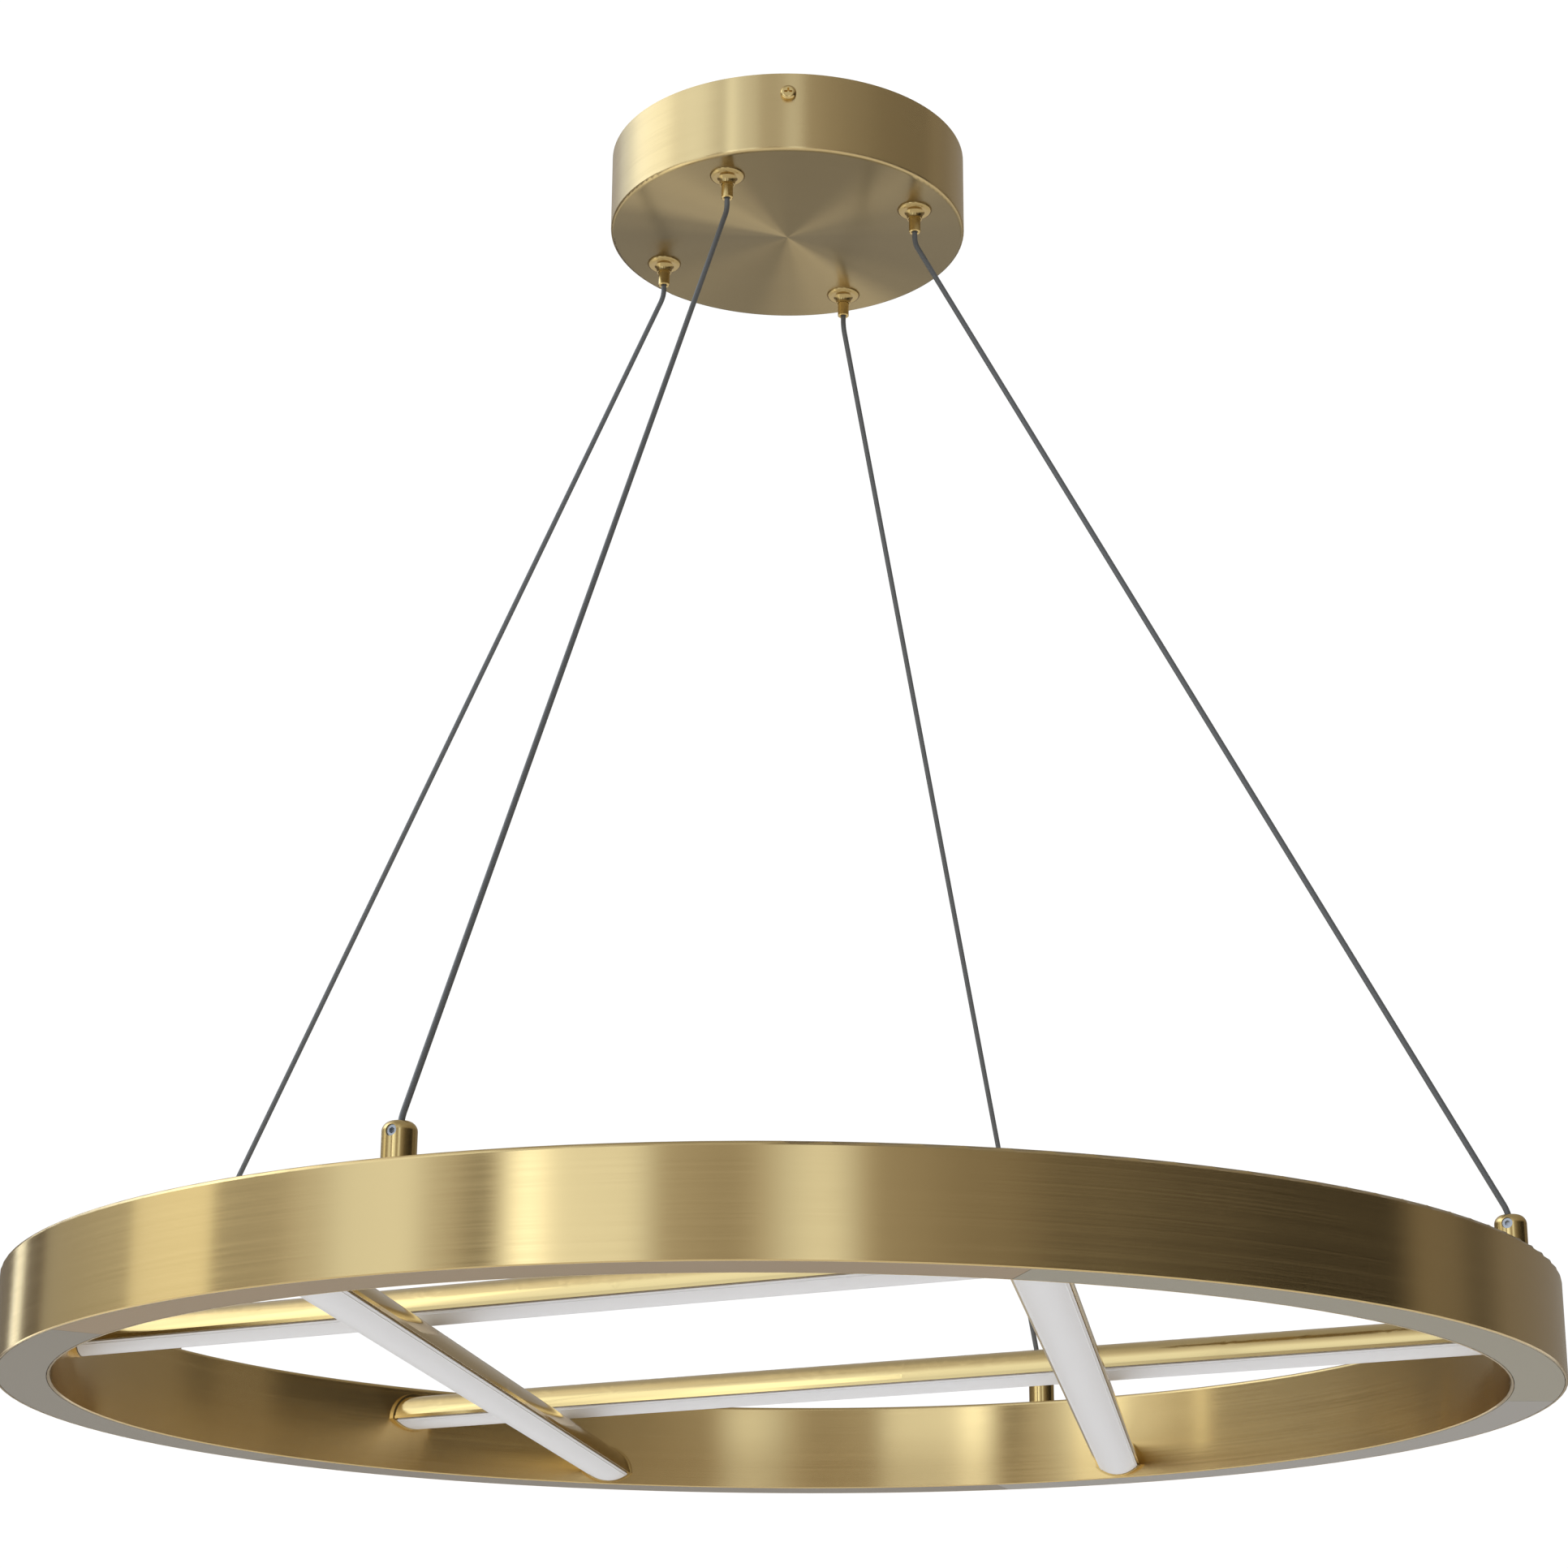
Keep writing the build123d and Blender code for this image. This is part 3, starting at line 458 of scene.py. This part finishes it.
world = bpy.data.worlds.new("studio")
bpy.context.scene.world = world
world.use_nodes = True
studio = world.node_tree
background = studio.nodes["Background"]
way = add_node(studio, "ShaderNodeTexCoord").outputs["Generated"]
height = add_node(studio, "ShaderNodeSeparateXYZ", links=[(0, way)]).outputs[2]
climb = add_node(
    studio, "ShaderNodeMapRange", links=[("Value", height)],
    values=[("From Min", LOW_ENDS), ("From Max", HIGH_REACHED)])
walls = add_node(
    studio, "ShaderNodeMix", data_type="FLOAT",
    links=[(0, climb.outputs[0]), (2, level_by_bearing(studio, way, LOW_LIGHT, BRIGHTEST)),
           (3, level_by_bearing(studio, way, HIGH_LIGHT, BRIGHTEST))])
steep = add_node(studio, "ShaderNodeMath", operation="ABSOLUTE", links=[(0, height)])
overhead = add_node(
    studio, "ShaderNodeMapRange", links=[("Value", steep.outputs[0])],
    values=[("From Min", OVERHEAD_BEGINS), ("From Max", OVERHEAD_REACHED)])
room = add_node(
    studio, "ShaderNodeMix", data_type="FLOAT", values=[(3, OVERHEAD_LIGHT)],
    links=[(0, overhead.outputs[0]), (2, walls.outputs[0])])
seen = add_node(studio, "ShaderNodeLightPath").outputs["Is Camera Ray"]
strength = add_node(
    studio, "ShaderNodeMix", data_type="FLOAT", values=[(3, WHITE_BEHIND)],
    links=[(0, seen), (2, room.outputs[0])])
studio.links.new(strength.outputs[0], background.inputs["Strength"])
brightening = add_node(
    studio, "ShaderNodeMapRange", links=[("Value", walls.outputs[0])],
    values=[("From Min", WARM_UP_TO), ("From Max", COOL_FROM)])
tone = add_node(
    studio, "ShaderNodeMix", data_type="VECTOR", values=[(4, DIM_COLOUR), (5, BRIGHT_COLOUR)],
    links=[(0, brightening.outputs[0])])
untinted = add_node(
    studio, "ShaderNodeMath", operation="MAXIMUM", links=[(0, seen), (1, overhead.outputs[0])])
light_colour = add_node(
    studio, "ShaderNodeMix", data_type="VECTOR", values=[(5, NEUTRAL)],
    links=[(0, untinted.outputs[0]), (4, tone.outputs[1])])
studio.links.new(light_colour.outputs[1], background.inputs["Color"])

# Soft strip lights that the ring's left side mirrors as upright bands. Each has its place
# and width and height in metres, the bearing it faces less 90 degrees, and its watts.
STRIP_LIGHTS = [
    ((-0.738, -0.26, -0.60), -90.0, 0.18, 1.0, 0.45),
    ((-0.738, -0.025, -0.60), -90.0, 0.29, 1.0, 0.26),
    ((-0.575, 0.106, -0.64), -143.0, 0.04, 0.5, 0.09)]
STRIP_TINT = (0.95, 1.0, 0.9)

for place, turn, width, tall, power in STRIP_LIGHTS:
    strip = bpy.data.lights.new("strip_light", "AREA")
    strip.shape = "RECTANGLE"
    strip.size = width
    strip.size_y = tall
    strip.energy = power
    strip.color = STRIP_TINT
    strip_light = bpy.data.objects.new("strip_light", strip)
    strip_light.location = place
    strip_light.rotation_euler = (math.pi / 2, 0, math.radians(turn))
    strip_light.visible_camera = False
    bpy.context.scene.collection.objects.link(strip_light)


# ---- Camera ------------------------------------------------------------------------
# The photograph was taken from in front of the ring and a little below it, looking up. The
# place, in metres from the middle of the ceiling strap's top, the pitch and roll in radians
# and the focal length in the photograph's pixels are fitted to the outlines of the lamp.

CAMERA_PLACE = (0.0, -1.753, -0.975)
CAMERA_PITCH = 0.3247
CAMERA_ROLL = 0.0062
FOCAL_PIXELS = 4128
PHOTO_PIXELS = 1932
SENSOR_WIDTH = 36.0
NEAREST_SEEN = 0.05

camera = bpy.data.objects.new("camera", bpy.data.cameras.new("camera"))
bpy.context.scene.collection.objects.link(camera)
level = Vector((1, 0, 0))
look = Vector((0, math.cos(CAMERA_PITCH), math.sin(CAMERA_PITCH)))
rise = Vector((0, -math.sin(CAMERA_PITCH), math.cos(CAMERA_PITCH)))
right = math.cos(CAMERA_ROLL) * level + math.sin(CAMERA_ROLL) * rise
up = -math.sin(CAMERA_ROLL) * level + math.cos(CAMERA_ROLL) * rise
turned = Matrix((right, up, -look)).transposed().to_4x4()
camera.matrix_world = Matrix.Translation(CAMERA_PLACE) @ turned
camera.data.sensor_width = SENSOR_WIDTH
camera.data.lens = FOCAL_PIXELS / PHOTO_PIXELS * SENSOR_WIDTH
camera.data.clip_start = NEAREST_SEEN
bpy.context.scene.camera = camera
bpy.context.scene.view_settings.view_transform = "Standard"


# ---- Last update -------------------------------------------------------------------
# The view layer is brought up to date once more.

bpy.context.view_layer.update()
